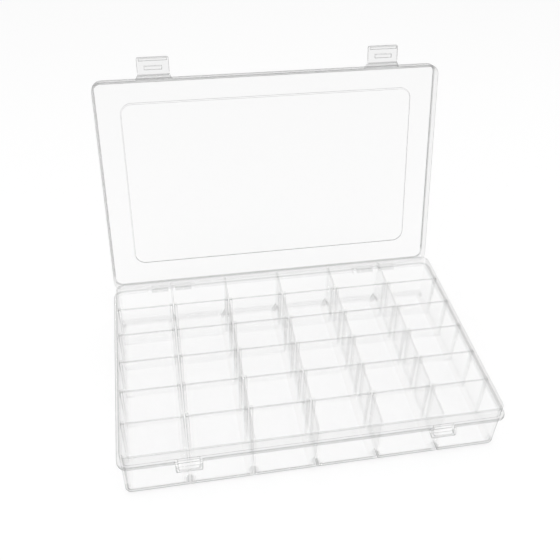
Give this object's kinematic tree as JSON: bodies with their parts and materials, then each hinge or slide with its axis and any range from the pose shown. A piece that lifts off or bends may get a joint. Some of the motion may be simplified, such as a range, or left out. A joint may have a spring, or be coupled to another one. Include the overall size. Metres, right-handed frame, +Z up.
{
  "type": "bead organizer",
  "caption": "Clear compartment box for beads and small parts, with lift-out cross dividers and one hinged lid held by two latches.",
  "frame": {"origin": "centre of the footprint with the lid open, on the surface the box stands on", "axes": "+X to the right along the hinges, +Y from the latches to the hinges, +Z up"},
  "size_m": [0.2732, 0.2315, 0.2174],
  "materials": {
    "clear": "clear",
    "frosted": "clear"
  },
  "bodies": {
    "tray": {"tray": "clear"},
    "lid": {"lid": "clear"},
    "latch_left": {"latch_left": "frosted"},
    "latch_right": {"latch_right": "frosted"},
    "divider_c1_r1": {"divider_c1_r1": "clear"},
    "divider_c1_r2": {"divider_c1_r2": "clear"},
    "divider_c1_r3": {"divider_c1_r3": "clear"},
    "divider_c1_r4": {"divider_c1_r4": "clear"},
    "divider_c1_r5": {"divider_c1_r5": "clear"},
    "divider_c2_r1": {"divider_c2_r1": "clear"},
    "divider_c2_r2": {"divider_c2_r2": "clear"},
    "divider_c2_r3": {"divider_c2_r3": "clear"},
    "divider_c2_r4": {"divider_c2_r4": "clear"},
    "divider_c2_r5": {"divider_c2_r5": "clear"},
    "divider_c3_r1": {"divider_c3_r1": "clear"},
    "divider_c3_r2": {"divider_c3_r2": "clear"},
    "divider_c3_r3": {"divider_c3_r3": "clear"},
    "divider_c3_r4": {"divider_c3_r4": "clear"},
    "divider_c3_r5": {"divider_c3_r5": "clear"},
    "divider_c4_r1": {"divider_c4_r1": "clear"},
    "divider_c4_r2": {"divider_c4_r2": "clear"},
    "divider_c4_r3": {"divider_c4_r3": "clear"},
    "divider_c4_r4": {"divider_c4_r4": "clear"},
    "divider_c4_r5": {"divider_c4_r5": "clear"},
    "divider_c5_r1": {"divider_c5_r1": "clear"},
    "divider_c5_r2": {"divider_c5_r2": "clear"},
    "divider_c5_r3": {"divider_c5_r3": "clear"},
    "divider_c5_r4": {"divider_c5_r4": "clear"},
    "divider_c5_r5": {"divider_c5_r5": "clear"},
    "divider_c6_r1": {"divider_c6_r1": "clear"},
    "divider_c6_r2": {"divider_c6_r2": "clear"},
    "divider_c6_r3": {"divider_c6_r3": "clear"},
    "divider_c6_r4": {"divider_c6_r4": "clear"},
    "divider_c6_r5": {"divider_c6_r5": "clear"}
  },
  "joints": [
    {"name": "lid_hinge", "type": "hinge", "parent": "tray", "child": "lid", "pos_m": [0, 0.0627, 0.0304], "axis": [-1, 0, 0], "range_deg": [-103.4, 0]},
    {"name": "latch_left_hinge", "type": "hinge", "parent": "lid", "child": "latch_left", "pos_m": [-0.089, 0.10856, 0.2048], "axis": [-1, 0, 0], "range_deg": [-90, 45], "stiffness_Nm_per_rad": 0.002},
    {"name": "latch_right_hinge", "type": "hinge", "parent": "lid", "child": "latch_right", "pos_m": [0.089, 0.10856, 0.2048], "axis": [-1, 0, 0], "range_deg": [-90, 45], "stiffness_Nm_per_rad": 0.002},
    {"name": "divider_c1_r1_slide", "type": "slide", "parent": "tray", "child": "divider_c1_r1", "axis": [0, 0, 1], "range_m": [0, 0.04]},
    {"name": "divider_c1_r2_slide", "type": "slide", "parent": "tray", "child": "divider_c1_r2", "axis": [0, 0, 1], "range_m": [0, 0.04]},
    {"name": "divider_c1_r3_slide", "type": "slide", "parent": "tray", "child": "divider_c1_r3", "axis": [0, 0, 1], "range_m": [0, 0.04]},
    {"name": "divider_c1_r4_slide", "type": "slide", "parent": "tray", "child": "divider_c1_r4", "axis": [0, 0, 1], "range_m": [0, 0.04]},
    {"name": "divider_c1_r5_slide", "type": "slide", "parent": "tray", "child": "divider_c1_r5", "axis": [0, 0, 1], "range_m": [0, 0.04]},
    {"name": "divider_c2_r1_slide", "type": "slide", "parent": "tray", "child": "divider_c2_r1", "axis": [0, 0, 1], "range_m": [0, 0.04]},
    {"name": "divider_c2_r2_slide", "type": "slide", "parent": "tray", "child": "divider_c2_r2", "axis": [0, 0, 1], "range_m": [0, 0.04]},
    {"name": "divider_c2_r3_slide", "type": "slide", "parent": "tray", "child": "divider_c2_r3", "axis": [0, 0, 1], "range_m": [0, 0.04]},
    {"name": "divider_c2_r4_slide", "type": "slide", "parent": "tray", "child": "divider_c2_r4", "axis": [0, 0, 1], "range_m": [0, 0.04]},
    {"name": "divider_c2_r5_slide", "type": "slide", "parent": "tray", "child": "divider_c2_r5", "axis": [0, 0, 1], "range_m": [0, 0.04]},
    {"name": "divider_c3_r1_slide", "type": "slide", "parent": "tray", "child": "divider_c3_r1", "axis": [0, 0, 1], "range_m": [0, 0.04]},
    {"name": "divider_c3_r2_slide", "type": "slide", "parent": "tray", "child": "divider_c3_r2", "axis": [0, 0, 1], "range_m": [0, 0.04]},
    {"name": "divider_c3_r3_slide", "type": "slide", "parent": "tray", "child": "divider_c3_r3", "axis": [0, 0, 1], "range_m": [0, 0.04]},
    {"name": "divider_c3_r4_slide", "type": "slide", "parent": "tray", "child": "divider_c3_r4", "axis": [0, 0, 1], "range_m": [0, 0.04]},
    {"name": "divider_c3_r5_slide", "type": "slide", "parent": "tray", "child": "divider_c3_r5", "axis": [0, 0, 1], "range_m": [0, 0.04]},
    {"name": "divider_c4_r1_slide", "type": "slide", "parent": "tray", "child": "divider_c4_r1", "axis": [0, 0, 1], "range_m": [0, 0.04]},
    {"name": "divider_c4_r2_slide", "type": "slide", "parent": "tray", "child": "divider_c4_r2", "axis": [0, 0, 1], "range_m": [0, 0.04]},
    {"name": "divider_c4_r3_slide", "type": "slide", "parent": "tray", "child": "divider_c4_r3", "axis": [0, 0, 1], "range_m": [0, 0.04]},
    {"name": "divider_c4_r4_slide", "type": "slide", "parent": "tray", "child": "divider_c4_r4", "axis": [0, 0, 1], "range_m": [0, 0.04]},
    {"name": "divider_c4_r5_slide", "type": "slide", "parent": "tray", "child": "divider_c4_r5", "axis": [0, 0, 1], "range_m": [0, 0.04]},
    {"name": "divider_c5_r1_slide", "type": "slide", "parent": "tray", "child": "divider_c5_r1", "axis": [0, 0, 1], "range_m": [0, 0.04]},
    {"name": "divider_c5_r2_slide", "type": "slide", "parent": "tray", "child": "divider_c5_r2", "axis": [0, 0, 1], "range_m": [0, 0.04]},
    {"name": "divider_c5_r3_slide", "type": "slide", "parent": "tray", "child": "divider_c5_r3", "axis": [0, 0, 1], "range_m": [0, 0.04]},
    {"name": "divider_c5_r4_slide", "type": "slide", "parent": "tray", "child": "divider_c5_r4", "axis": [0, 0, 1], "range_m": [0, 0.04]},
    {"name": "divider_c5_r5_slide", "type": "slide", "parent": "tray", "child": "divider_c5_r5", "axis": [0, 0, 1], "range_m": [0, 0.04]},
    {"name": "divider_c6_r1_slide", "type": "slide", "parent": "tray", "child": "divider_c6_r1", "axis": [0, 0, 1], "range_m": [0, 0.04]},
    {"name": "divider_c6_r2_slide", "type": "slide", "parent": "tray", "child": "divider_c6_r2", "axis": [0, 0, 1], "range_m": [0, 0.04]},
    {"name": "divider_c6_r3_slide", "type": "slide", "parent": "tray", "child": "divider_c6_r3", "axis": [0, 0, 1], "range_m": [0, 0.04]},
    {"name": "divider_c6_r4_slide", "type": "slide", "parent": "tray", "child": "divider_c6_r4", "axis": [0, 0, 1], "range_m": [0, 0.04]},
    {"name": "divider_c6_r5_slide", "type": "slide", "parent": "tray", "child": "divider_c6_r5", "axis": [0, 0, 1], "range_m": [0, 0.04]}
  ]
}
